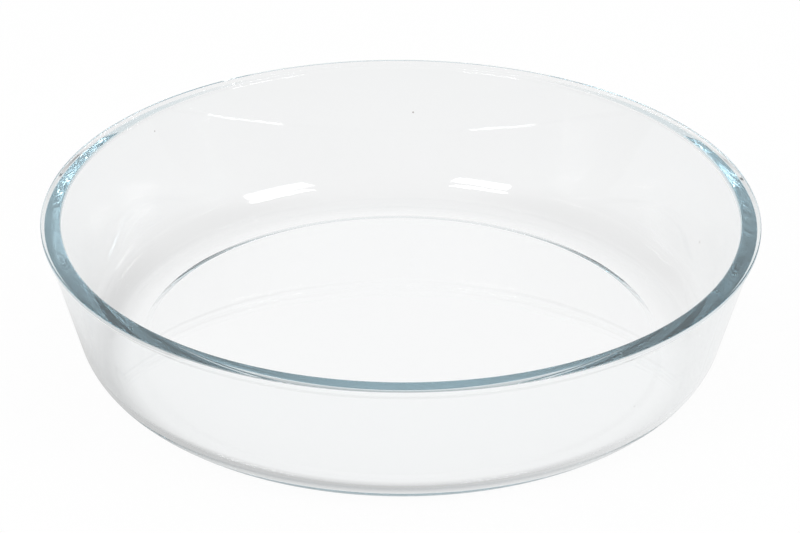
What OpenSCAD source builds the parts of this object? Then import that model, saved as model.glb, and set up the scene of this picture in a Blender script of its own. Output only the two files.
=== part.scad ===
// Round baking dish of pressed clear glass, one piece.
// Its half section is a short list of corners, each with a radius, turned about the Z axis.
// The origin is the centre of the foot on the table, and +Z is up.

/* [Overall] */
// Outside diameter over the lip, mm
rim_d = 260; // [200:1:320]
// Height from the table to the top of the rim, mm
height = 55; // [45:0.5:80]

/* [Wall and floor] */
// Lean of the wall's outer face from upright, degrees
wall_lean = 15.2; // [8:0.1:18]
// Level thickness of the wall at the height of the floor's upper face, mm
wall_low_t = 5.3; // [4:0.1:8]
// Thickness of the floor above the recess, mm
floor_t = 4.5; // [3:0.1:8]
// Radius inside, where the wall runs into the floor, mm
corner_in_r = 9.9; // [5:0.1:18]
// Level at which the wall turns in toward the foot, mm
heel_h = 6.8; // [4:0.1:9]
// Radius outside, at that turn, mm
corner_out_r = 10; // [5:0.1:12]

/* [Rim] */
// Width of the rim, from the edge of the lip to the inner face of the wall, mm
rim_w = 7.2; // [6:0.1:12]
// How far the lip stands out past the wall beneath it, mm
lip_reach = 1.5; // [1.2:0.1:3]
// Height of the lip's upright outer edge, mm
lip_edge_h = 1.8; // [1.1:0.1:5]
// Rise of the lip's underside outward, degrees from level
lip_rise = 48; // [40:1:60]
// Radius of the lip's upper outer edge, mm
lip_top_r = 0.4; // [0.2:0.1:0.5]
// Radius of the lip's lower outer edge, mm
lip_low_r = 1.4; // [0.4:0.1:1.8]
// Radius in the corner between the wall and the lip's underside, mm
lip_under_r = 1.2; // [0.4:0.1:2.5]
// Radius of the rim's inner edge, mm
rim_in_r = 1.5; // [0.4:0.1:2.5]

/* [Foot] */
// Outside radius of the foot, mm
foot_out_r = 106.6; // [80:0.1:108]
// Radius of the foot's outer edge, mm
foot_edge_r = 2; // [0.5:0.1:4]
// Width of the ring that the dish stands on, mm
foot_w = 11.1; // [6:0.1:14]
// Height of the shallow recess inside the ring, mm
recess_h = 0.4; // [0.2:0.1:1.2]
// Level width of the slope between the ring and the recess, mm
recess_run = 2.2; // [1.5:0.1:4]
// Radius of the two edges of that slope, mm
recess_edge_r = 1; // [0.2:0.1:1.5]

/* [Hidden] */
// Facets round the dish, and the most that an arc of the section turns from point to point
$fn = 240;
arc_step = 4;

// Radius over the lip
rim_r = rim_d / 2;
// Level of the floor's upper face
floor_z = recess_h + floor_t;
// The lip's lower outer edge, and where its underside meets the wall
lip_edge_z = height - lip_edge_h;
wall_top_z = lip_edge_z - lip_reach * tan(lip_rise);
wall_top_r = rim_r - lip_reach;
// Outer face of the wall, carried down to the table
wall_foot_r = wall_top_r - wall_top_z * tan(wall_lean);
// Inner face of the wall, level with the rim and with the floor
inner_top_r = rim_r - rim_w;
inner_floor_r = wall_foot_r + floor_z * tan(wall_lean) - wall_low_t;
// Where the wall's outer face ends and the heel starts
heel_r = wall_foot_r + heel_h * tan(wall_lean);
foot_in_r = foot_out_r - foot_w;
recess_r = foot_in_r - recess_run;

// Corners of the half section, anticlockwise from the axis: distance, level, radius
section = [
    [0, recess_h, 0],
    [recess_r, recess_h, recess_edge_r],
    [foot_in_r, 0, recess_edge_r],
    [foot_out_r, 0, foot_edge_r],
    [heel_r, heel_h, corner_out_r],
    [wall_top_r, wall_top_z, lip_under_r],
    [rim_r, lip_edge_z, lip_low_r],
    [rim_r, height, lip_top_r],
    [inner_top_r, height, rim_in_r],
    [inner_floor_r, floor_z, corner_in_r],
    [0, floor_z, 0]
];

function unit(v) = v / norm(v);

function turned(v, a) = [v[0] * cos(a) - v[1] * sin(a), v[0] * sin(a) + v[1] * cos(a)];

// The arc that rounds the corner at here, whose neighbours are before and after
function arc(before, here, after, r) =
    let (
        back = unit(before - here),
        ahead = unit(after - here),
        half_angle = acos(back * ahead) / 2,
        centre = here + unit(back + ahead) * r / sin(half_angle),
        spoke = here + back * r / tan(half_angle) - centre,
        turn = sign(cross(-back, ahead)) * (180 - 2 * half_angle),
        steps = ceil(abs(turn) / arc_step)
    )
    [for (i = [0:steps]) centre + turned(spoke, turn * i / steps)];

// The outline through a list of corners, with each corner rounded to its radius
function rounded(corners) =
    let (
        n = len(corners),
        at = [for (c = corners) [c[0], c[1]]]
    )
    [
        for (i = [0:n - 1])
            each corners[i][2] > 0
                ? arc(at[(i + n - 1) % n], at[i], at[(i + 1) % n], corners[i][2])
                : [at[i]]
    ];

module dish() {
    color([0.78, 0.9, 0.92, 0.45])
        rotate_extrude()
            polygon(rounded(section));
}

dish();
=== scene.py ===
# %% [markdown]
# # A round baking dish of clear pressed glass
#
# The dish is one piece: a floor, a sloping wall, a rim with a narrow lip, and a low foot ring that
# it stands on. It is pressed between a mould and a plunger, so every section through its axis is
# the same, and the whole form can be turned from one half section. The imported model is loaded
# first, because it fixes the place and the size of everything that follows.

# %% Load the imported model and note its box
import math

import bpy
from mathutils import Matrix, Vector


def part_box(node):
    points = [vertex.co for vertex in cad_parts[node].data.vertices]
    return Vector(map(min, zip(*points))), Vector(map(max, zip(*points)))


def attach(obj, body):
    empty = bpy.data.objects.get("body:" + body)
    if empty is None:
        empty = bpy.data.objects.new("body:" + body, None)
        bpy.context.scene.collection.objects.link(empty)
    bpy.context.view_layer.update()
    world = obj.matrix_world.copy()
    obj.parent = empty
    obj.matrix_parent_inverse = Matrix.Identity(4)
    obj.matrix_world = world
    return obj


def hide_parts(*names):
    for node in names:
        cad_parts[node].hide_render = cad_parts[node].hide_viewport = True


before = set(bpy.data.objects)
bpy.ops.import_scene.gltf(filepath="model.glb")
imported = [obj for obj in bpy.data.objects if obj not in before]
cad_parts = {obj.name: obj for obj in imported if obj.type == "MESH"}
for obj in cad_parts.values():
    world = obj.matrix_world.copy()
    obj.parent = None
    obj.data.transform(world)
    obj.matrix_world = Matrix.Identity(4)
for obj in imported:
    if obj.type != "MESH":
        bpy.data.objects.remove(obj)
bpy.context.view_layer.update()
low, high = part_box("dish")
print("the dish in the frame:", [round(v * 1000, 2) for v in (*low, *high)], "mm")

# %% [markdown]
# ## Measures
#
# The overall height and diameter come from the frame. The rest are the sizes that a mould maker
# would write on the drawing, in metres: wall, floor, lip, foot and the radius of every corner.
# The wall is thicker at the rim than at the floor, because the plunger is steeper than the mould.
# The heel, where the wall turns in to the foot, gets two large soft radii. A sharp turn there would
# throw light from the floor up into the rim and make it pale, where pressed glass shows it dark.

# %% Sizes of the section
RIM_R = (high.x - low.x) / 2
HEIGHT = high.z - low.z
WALL_LEAN = math.radians(15.2)
WALL_LOW_T = 0.0053
FLOOR_T = 0.0045
CORNER_IN_R = 0.0099
HEEL_H = 0.0071
CORNER_OUT_R = 0.0195
RIM_W = 0.0072
LIP_REACH = 0.0015
LIP_EDGE_H = 0.0018
LIP_RISE = math.radians(48)
LIP_TOP_R = 0.0004
LIP_LOW_R = 0.0014
LIP_UNDER_R = 0.0012
RIM_IN_R = 0.0015
FOOT_OUT_R = 0.1073
FOOT_EDGE_R = 0.011
FOOT_W = 0.0118
RECESS_H = 0.0004
RECESS_RUN = 0.0022
RECESS_EDGE_R = 0.001

# %% Corners of the half section
floor_z = RECESS_H + FLOOR_T
lip_edge_z = HEIGHT - LIP_EDGE_H
wall_top_z = lip_edge_z - LIP_REACH * math.tan(LIP_RISE)
wall_top_r = RIM_R - LIP_REACH
wall_foot_r = wall_top_r - wall_top_z * math.tan(WALL_LEAN)
inner_top_r = RIM_R - RIM_W
inner_floor_r = wall_foot_r + floor_z * math.tan(WALL_LEAN) - WALL_LOW_T
heel_r = wall_foot_r + HEEL_H * math.tan(WALL_LEAN)
foot_in_r = FOOT_OUT_R - FOOT_W
recess_r = foot_in_r - RECESS_RUN

# Each corner is its distance from the axis, its level and the radius that rounds it
corners = [
    (0, RECESS_H, 0),
    (recess_r, RECESS_H, RECESS_EDGE_R),
    (foot_in_r, 0, RECESS_EDGE_R),
    (FOOT_OUT_R, 0, FOOT_EDGE_R),
    (heel_r, HEEL_H, CORNER_OUT_R),
    (wall_top_r, wall_top_z, LIP_UNDER_R),
    (RIM_R, lip_edge_z, LIP_LOW_R),
    (RIM_R, HEIGHT, LIP_TOP_R),
    (inner_top_r, HEIGHT, RIM_IN_R),
    (inner_floor_r, floor_z, CORNER_IN_R),
    (0, floor_z, 0),
]
print("foot ring from", round(foot_in_r * 1000, 1), "to", round(FOOT_OUT_R * 1000, 1), "mm")

# %% [markdown]
# ## The half section
#
# A section could be typed in as a list of points, or drawn as a curve. Here it is drawn as by hand
# in edit mode, from one vertex: a straight side is that vertex extruded, and a round corner is the
# vertex spun about the centre of its arc, so every arc is a true one and keeps its drawn radius.
# Smooth shading blends the normals of neighbouring faces, and glass shows that as a false lens on
# a flat floor. A short holding step at each end of a straight side keeps the blend beside the arc.

# %% Helpers that draw straight sides and arcs in the XZ plane
SEED_SIZE = 0.001
ARC_STEP = math.radians(2.5)
SIDE_STEP = 0.012
HOLD = 0.00015


def start_outline(name, at):
    """A new mesh that is one selected vertex, in edit mode."""
    bpy.ops.object.select_all(action="DESELECT")
    bpy.ops.mesh.primitive_plane_add(size=SEED_SIZE, location=at)
    outline = bpy.context.object
    outline.name = name
    bpy.ops.object.transform_apply(location=True, rotation=True, scale=True)
    bpy.ops.object.mode_set(mode="EDIT")
    bpy.ops.mesh.select_all(action="SELECT")
    bpy.ops.mesh.merge(type="CENTER")
    return outline


def extend(move):
    """Extrudes the end vertex once."""
    bpy.ops.mesh.extrude_region_move(TRANSFORM_OT_translate={"value": move})


def straight_to(here, there):
    """Extrudes the end vertex along a straight side, with a short holding step at each end."""
    way = there - here
    hold = way.normalized() * min(HOLD, way.length / 4)
    middle = way - 2 * hold
    steps = max(1, math.ceil(middle.length / SIDE_STEP))
    extend(hold)
    for _ in range(steps):
        extend(middle / steps)
    extend(hold)


def arc_about(centre, turn):
    """Spins the end vertex about the centre of a corner's arc."""
    steps = max(2, math.ceil(abs(turn) / ARC_STEP))
    bpy.ops.mesh.spin(steps=steps, angle=turn, center=centre, axis=(0, 1, 0), use_auto_merge=False)


def corner_arc(before, here, after, radius):
    """Where a corner's arc starts and ends, its centre, and how far it turns."""
    back = (before - here).normalized()
    ahead = (after - here).normalized()
    half = back.angle(ahead) / 2
    centre = here + (back + ahead).normalized() * radius / math.sin(half)
    run = radius / math.tan(half)
    left = (ahead.cross(-back)).y
    return here + back * run, here + ahead * run, centre, math.copysign(math.pi - 2 * half, left)


# %% Draw the half section
points = [Vector((r, 0, z)) for r, z, _ in corners]
dish = start_outline("dish_glass", points[0])
at = points[0]
for i in range(1, len(corners)):
    radius = corners[i][2]
    if radius > 0:
        start, end, centre, turn = corner_arc(points[i - 1], points[i], points[i + 1], radius)
        straight_to(at, start)
        arc_about(centre, turn)
        at = end
    else:
        straight_to(at, points[i])
        at = points[i]
bpy.ops.object.mode_set(mode="OBJECT")
print("the half section has", len(dish.data.vertices), "points")

# %% [markdown]
# ## Turning the dish
#
# The section is spun once about the upright axis, as a potter's template would cut it. The two
# points on the axis come back as hundreds of copies, so they are merged, and then the normals are
# made to face outward, because glass bends light by which side of the face it meets.

# %% Spin the section about the axis
ROUND_STEPS = 360
WELD = 0.000001

bpy.ops.object.mode_set(mode="EDIT")
bpy.ops.mesh.select_all(action="SELECT")
bpy.ops.mesh.spin(steps=ROUND_STEPS, angle=2 * math.pi, center=(0, 0, 0), axis=(0, 0, 1))
bpy.ops.mesh.select_all(action="SELECT")
bpy.ops.mesh.remove_doubles(threshold=WELD)
bpy.ops.mesh.normals_make_consistent(inside=False)
bpy.ops.object.mode_set(mode="OBJECT")
bpy.ops.object.shade_smooth()
print("the dish has", len(dish.data.vertices), "points and", len(dish.data.polygons), "faces")

# %% [markdown]
# ## A helper for nodes
#
# Glass, paper and daylight are all node trees. One short helper adds a node, sets its options and
# fills or links its inputs, so that each finish below reads from top to bottom like a recipe.

# %% Add a node and wire it


def add_node(tree, kind, inputs=None, **options):
    """Adds a shader node. An input is given a value, or a socket of another node to link."""
    made = tree.nodes.new("ShaderNode" + kind)
    for option, value in options.items():
        setattr(made, option, value)
    for socket, value in (inputs or {}).items():
        if isinstance(value, bpy.types.NodeSocket):
            tree.links.new(value, made.inputs[socket])
        else:
            made.inputs[socket].default_value = value
    return made


# %% [markdown]
# ## The glass
#
# Clear glass shows almost no colour through a wall a few millimetres thick, and a slate blue where
# light runs along inside the rim. A tinted surface would colour both alike. So the surface stays
# clear and the colour is given to the volume, where it grows with the length of the way through.
# Pressed glass is never quite flat: the plunger leaves slow ripples, which break the reflections
# of the rim, so a soft bump of a few hundredths of a millimetre goes over everything.

# %% Marks of making and use
GLASS_IOR = 1.474
TINT = (0.56, 0.71, 0.76, 1)
TINT_DENSITY = 8.2
RIPPLE_SCALE = 30.0
RIPPLE_DETAIL = 1.0
RIPPLE_ROUGHNESS = 0.4
RIPPLE_DEPTH = 0.00004

SPECK_R = 0.0005
SPECKS = [
    (-0.0944, 0.0759, 0.0491),
    (0.0046, 0.1184, 0.0374),
    (0.112, 0.03, 0.0266),
    (0.08, -0.0918, 0.0276),
]
SPECK_TONE = (0.25, 0.22, 0.2, 1)
NICK_R = 0.0006
NICKS = [
    (-0.0911, -0.0885, 0.055),
    (0.1168, -0.0476, 0.055),
    (0.1095, -0.06, 0.055),
    (0.0738, -0.1035, 0.055),
]
NICK_ROUGHNESS = 0.5
SPOT_CORE = 0.4
CLEAR = (1, 1, 1, 1)


def spots(tree, coord, places, radius):
    """A mask that is 1 in the core of each spot and fades to 0 at its radius."""
    mask = None
    for place in places:
        apart = add_node(tree, "VectorMath", {0: coord, 1: place}, operation="DISTANCE")
        spot = add_node(tree, "MapRange", {
            "Value": apart.outputs["Value"], "From Min": radius, "From Max": radius * SPOT_CORE,
        }, interpolation_type="SMOOTHSTEP").outputs[0]
        if mask is None:
            mask = spot
        else:
            mask = add_node(tree, "Math", {0: mask, 1: spot}, operation="MAXIMUM").outputs[0]
    return mask


# %% Mix the glass
def clear_glass():
    """Clear gloss glass with a colour that shows only over a long way through."""
    material = bpy.data.materials.new("pressed_glass")
    material.use_nodes = True
    tree = material.node_tree
    shader = tree.nodes["Principled BSDF"]
    coord = add_node(tree, "TexCoord").outputs["Object"]
    ripple = add_node(tree, "TexNoise", {
        "Vector": coord, "Scale": RIPPLE_SCALE,
        "Detail": RIPPLE_DETAIL, "Roughness": RIPPLE_ROUGHNESS,
    })
    bump = add_node(tree, "Bump", {
        "Height": ripple.outputs["Fac"], "Distance": RIPPLE_DEPTH, "Strength": 1.0,
    })
    tree.links.new(bump.outputs["Normal"], shader.inputs["Normal"])
    speck = spots(tree, coord, SPECKS, SPECK_R)
    tone = add_node(tree, "Mix", {"Factor": speck, 6: CLEAR, 7: SPECK_TONE}, data_type="RGBA")
    tree.links.new(tone.outputs[2], shader.inputs["Base Color"])
    nick = spots(tree, coord, NICKS, NICK_R)
    dull = add_node(tree, "MapRange", {"Value": nick, "To Min": 0.0, "To Max": NICK_ROUGHNESS})
    tree.links.new(dull.outputs[0], shader.inputs["Roughness"])
    shader.inputs["IOR"].default_value = GLASS_IOR
    shader.inputs["Transmission Weight"].default_value = 1.0
    volume = add_node(tree, "VolumeAbsorption", {"Color": TINT, "Density": TINT_DENSITY})
    tree.links.new(volume.outputs["Volume"], tree.nodes["Material Output"].inputs["Volume"])
    return material


dish.data.materials.clear()
dish.data.materials.append(clear_glass())
print("glass on", dish.name, "with", len(SPECKS), "specks and", len(NICKS), "nicks")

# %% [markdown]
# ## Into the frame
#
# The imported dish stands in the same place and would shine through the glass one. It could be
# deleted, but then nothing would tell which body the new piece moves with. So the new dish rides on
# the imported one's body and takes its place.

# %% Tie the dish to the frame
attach(dish, "root")
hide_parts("dish")
print(dish.name, "takes the place of the packed dish")

# %% [markdown]
# ## Stage
#
# Glass shows little of itself and much of what stands round it, so the surroundings do most of the
# work: a white sweep without a horizon, two large lamps, and a dimmer part of the room on either
# side, which draws the soft grey bands along the corner of the floor and down the wall. In what
# the glass reflects and lets through, the floor's glow carries painted light and shade: it is
# painted bright under the dish, where light would fall through the glass, and a painted shadow
# dims it just outside the foot, most of all toward the camera and a little to the left, which gives
# the grey band low on the front of the glass. The glow could be left out and the paper lit by the
# lamps alone, but a white that is bright enough behind the glass would then clip.

# %% Levels of the paper floor and its painted shade
FLOOR_SIZE = 8.0
FLOOR_DROP = 0.0003
PAPER = 0.9
PAPER_GLOW = 0.955
WHITE = (1, 1, 1, 1)
# The painted shadow is darkest along this way, toward the camera and a little to the left
PAINTED_SHADOW_WAY = (-0.5, -0.87, 0)
PAINTED_SHADOW_FROM = -0.3
RAMP_REACH = 0.25

# Each stop is a distance from the axis, as a share of the ramp's reach, and a grey level of painted
# shade
PAINTED_LIT_SIDE = ((0, 1), (0.39, 1), (0.41, 0.94), (0.44, 0.91), (0.5, 0.92), (0.6, 0.93), (1, 0.91))
# The dip just outside the foot on the dark side is a painted contact shadow
PAINTED_SHADOW_SIDE = (
    (0, 1), (0.395, 1), (0.408, 0.88), (0.42, 0.78), (0.435, 0.58), (0.485, 0.6),
    (0.56, 0.8), (0.64, 0.88), (1, 0.91),
)
print("the ramps run out to", RAMP_REACH * 1000, "mm from the axis")

# %% Helpers for the paper


def seen_rays(tree):
    """1 for rays that show the stage directly, in a reflection or through glass, else 0."""
    path = add_node(tree, "LightPath").outputs
    seen = path["Is Camera Ray"]
    for kind in ("Is Glossy Ray", "Is Transmission Ray"):
        seen = add_node(tree, "Math", {0: seen, 1: path[kind]}, operation="MAXIMUM").outputs[0]
    return seen


def grey_ramp(tree, along, levels):
    """A ramp from pairs of place and grey level."""
    node = add_node(tree, "ValToRGB", {"Fac": along})
    stops = node.color_ramp.elements
    for stop, (place, level) in zip(stops, (levels[0], levels[-1])):
        stop.position = place
        stop.color = (level, level, level, 1)
    for place, level in levels[1:-1]:
        stops.new(place).color = (level, level, level, 1)
    return node.outputs["Color"]


# %% Lay the paper floor


def paper_floor():
    """White paper that shows white to the camera and keeps a share of the object's shadow. In
    reflections and through glass its glow shows painted light under the dish and a painted shadow
    round the foot.
    """
    material = bpy.data.materials.new("floor_paper")
    material.use_nodes = True
    tree = material.node_tree
    tree.nodes.clear()
    coord = add_node(tree, "TexCoord").outputs["Object"]
    reach = add_node(tree, "VectorMath", {0: coord}, operation="LENGTH").outputs["Value"]
    along = add_node(tree, "Math", {0: reach, 1: 1 / RAMP_REACH}, operation="MULTIPLY").outputs[0]
    bearing = add_node(tree, "VectorMath", {0: coord}, operation="NORMALIZE").outputs["Vector"]
    # Painted shade: each point mixes from the lit grey ramp to the dark one as it faces the
    # camera's left
    facing = add_node(tree, "VectorMath", {0: bearing, 1: PAINTED_SHADOW_WAY}, operation="DOT_PRODUCT")
    turned = add_node(tree, "MapRange", {
        "Value": facing.outputs["Value"], "From Min": PAINTED_SHADOW_FROM, "From Max": 1.0,
    }, interpolation_type="SMOOTHSTEP").outputs[0]
    shade = add_node(tree, "Mix", {
        "Factor": turned, 6: grey_ramp(tree, along, PAINTED_LIT_SIDE), 7: grey_ramp(tree, along, PAINTED_SHADOW_SIDE),
    }, data_type="RGBA").outputs[2]
    camera_ray = add_node(tree, "LightPath").outputs["Is Camera Ray"]
    tone = add_node(tree, "Mix", {"Factor": camera_ray, 6: shade, 7: WHITE}, data_type="RGBA")
    glow = add_node(tree, "Emission", {"Color": tone.outputs[2], "Strength": 1.0})
    paper = add_node(tree, "BsdfDiffuse", {"Color": (PAPER, PAPER, PAPER, 1)})
    part = add_node(tree, "Math", {0: seen_rays(tree), 1: PAPER_GLOW}, operation="MULTIPLY")
    mix = add_node(tree, "MixShader", {0: part.outputs[0], 1: paper.outputs[0], 2: glow.outputs[0]})
    add_node(tree, "OutputMaterial", {"Surface": mix.outputs[0]})
    return material


bpy.ops.object.select_all(action="DESELECT")
bpy.ops.mesh.primitive_plane_add(size=FLOOR_SIZE, location=(0, 0, -FLOOR_DROP))
floor = bpy.context.object
floor.name = "floor"
floor.data.materials.append(paper_floor())
print("paper floor,", FLOOR_SIZE, "m wide")

# %% [markdown]
# ## The room
#
# A round glass wall shows the room in soft bands. A picture of a real room could be wrapped round
# the scene, but it would bring shapes that no studio has. So the room is one even grey, with two
# dim patches that fade at their edges, one on the left and one on the right. The rays that light
# the paper get an even white fill instead, and those that the camera sends past it plain white.

# %% World
ROOM_LEVEL = 0.86
DARK_SIDES = [((-0.811, 0.114, 0.574), 0.9), ((0.76, 0.3, 0.577), 0.9)]
DARK_INNER = math.cos(math.radians(15))
DARK_OUTER = math.cos(math.radians(50))
FILL_LEVEL = 0.85

world = bpy.data.worlds.new("studio")
bpy.context.scene.world = world
world.use_nodes = True
tree = world.node_tree
tree.nodes.clear()
direction = add_node(tree, "TexCoord").outputs["Generated"]
level = ROOM_LEVEL
for centre, depth in DARK_SIDES:
    facing = add_node(tree, "VectorMath", {0: direction, 1: centre}, operation="DOT_PRODUCT")
    dim = add_node(tree, "MapRange", {
        "Value": facing.outputs["Value"], "From Min": DARK_OUTER, "From Max": DARK_INNER,
        "To Min": 1.0, "To Max": 1.0 - depth,
    }, interpolation_type="SMOOTHSTEP").outputs[0]
    level = add_node(tree, "Math", {0: dim, 1: level}, operation="MULTIPLY").outputs[0]
path = add_node(tree, "LightPath").outputs
room = add_node(tree, "Background", {"Color": level})
fill = add_node(tree, "Background", {"Color": WHITE, "Strength": FILL_LEVEL})
white = add_node(tree, "Background", {"Color": WHITE, "Strength": 1.0})
lit = add_node(tree, "MixShader", {
    0: path["Is Diffuse Ray"], 1: room.outputs[0], 2: fill.outputs[0],
})
shown = add_node(tree, "MixShader", {
    0: path["Is Camera Ray"], 1: lit.outputs[0], 2: white.outputs[0],
})
add_node(tree, "OutputWorld", {"Surface": shown.outputs[0]})
print("room at", ROOM_LEVEL, "with", len(DARK_SIDES), "dim patches")

# %% [markdown]
# ## Lamps
#
# The two white highlights at the far side, where the floor curves up into the wall, are pictures
# of two softboxes. A sphere lamp would give round spots there, and a sun would give points. A wide,
# low rectangle gives the same long highlights. Its power is set from its own area, so that it can
# be made wider or narrower without changing how bright its picture is.

# %% Lamps
LAMP_ELEVATION = 38
LAMP_DISTANCE = 1.5
LAMP_HEIGHT = 0.36
LAMP_RADIANCE = 8


def softbox(name, azimuth, width):
    """A softbox that faces the dish. Azimuth 0 is the camera's side, and 90 is along +X."""
    a, e = math.radians(azimuth), math.radians(LAMP_ELEVATION)
    way = Vector((math.sin(a) * math.cos(e), -math.cos(a) * math.cos(e), math.sin(e)))
    at = way * LAMP_DISTANCE
    bpy.ops.object.light_add(type="AREA", location=at)
    lamp = bpy.context.object
    lamp.name = name
    lamp.data.shape = "RECTANGLE"
    lamp.data.size = width
    lamp.data.size_y = LAMP_HEIGHT
    lamp.data.energy = LAMP_RADIANCE * math.pi * width * LAMP_HEIGHT
    lamp.rotation_euler = (-at).to_track_quat("-Z", "Y").to_euler()
    print(name, round(lamp.data.energy, 2), "W")


softbox("softbox_left", -34, 0.5)
softbox("softbox_right", 53, 0.58)

# %% [markdown]
# ## Camera
#
# A dish looks flat from above and tall from the side, so the height of the camera sets how it is
# read. The camera stands 1.2 m off and 28 degrees up, with a long lens that keeps the far rim
# nearly as wide as the near one. It aims a little over half way up the dish, and it is turned by a
# third of a degree, as a camera on a tripod often is. The lens is worked out from a focal length in
# pixels.

# %% Camera
CAMERA_DISTANCE = 1.2
CAMERA_ELEVATION = 0.4953
CAMERA_LIFT = 0.03
AIM = Vector((-0.000215, 0, 0.0317))
ROLL = 0.0058
FOCAL_PX = 3281.0
IMAGE_W = 800
SENSOR = 36.0

view_way = Vector((0, -math.cos(CAMERA_ELEVATION), math.sin(CAMERA_ELEVATION)))
place = view_way * CAMERA_DISTANCE
place.z += CAMERA_LIFT
bpy.ops.object.camera_add(location=place)
camera = bpy.context.object
camera.name = "camera"
camera.data.sensor_width = SENSOR
camera.data.lens = FOCAL_PX * SENSOR / IMAGE_W
turn = (AIM - place).to_track_quat("-Z", "Y").to_matrix().to_4x4() @ Matrix.Rotation(ROLL, 4, "Z")
camera.matrix_world = Matrix.Translation(place) @ turn
bpy.context.scene.camera = camera
print("lens", round(camera.data.lens, 1), "mm")

# %% [markdown]
# ## Render settings
#
# Light that enters the rim is reflected dozens of times before it leaves, and it picks up its
# colour on the way. With the usual few bounces those rays end in black. Reflections inside glass
# count as glossy bounces, so that limit is raised along with the one for transmission.

# %% Let light run round inside the rim
GLASS_BOUNCES = 96

scene = bpy.context.scene
scene.view_settings.view_transform = "Standard"
scene.cycles.max_bounces = GLASS_BOUNCES
scene.cycles.transmission_bounces = GLASS_BOUNCES
scene.cycles.glossy_bounces = GLASS_BOUNCES
print("up to", GLASS_BOUNCES, "bounces")
